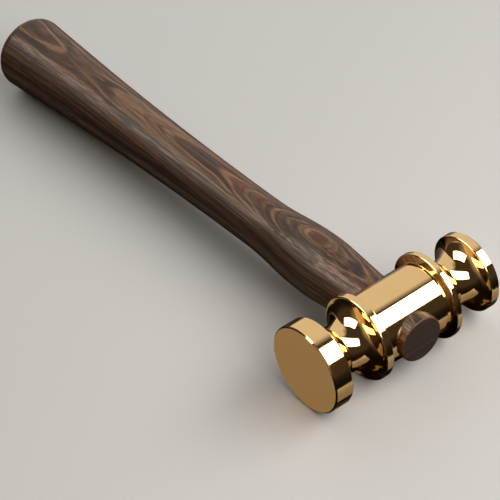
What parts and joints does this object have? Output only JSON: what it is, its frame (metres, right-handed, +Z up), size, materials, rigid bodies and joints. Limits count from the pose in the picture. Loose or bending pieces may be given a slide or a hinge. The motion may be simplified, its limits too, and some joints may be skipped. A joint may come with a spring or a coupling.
{
  "type": "carving mallet",
  "caption": "Brass-headed carving mallet: turned spool-shaped head with two round flat striking faces, through-tenoned onto a swelling round wooden handle.",
  "frame": {"origin": "middle of the bounding box's underside, on the surface that the mallet lies on", "axes": "+X along the head's axis towards the small striking face, +Y along the handle towards its butt, +Z up from the surface it lies on. The handle drops 0.54 degrees towards the butt, because the butt is slimmer than the drum."},
  "size_m": [0.0878, 0.269, 0.038],
  "materials": {
    "brass": "turned and mirror polished",
    "wenge": "sanded and oiled to a satin sheen",
    "epoxy": "hardened dark epoxy"
  },
  "bodies": {
    "root": {"head": "brass", "handle": "wenge", "epoxy_bond": "epoxy"}
  },
  "joints": []
}
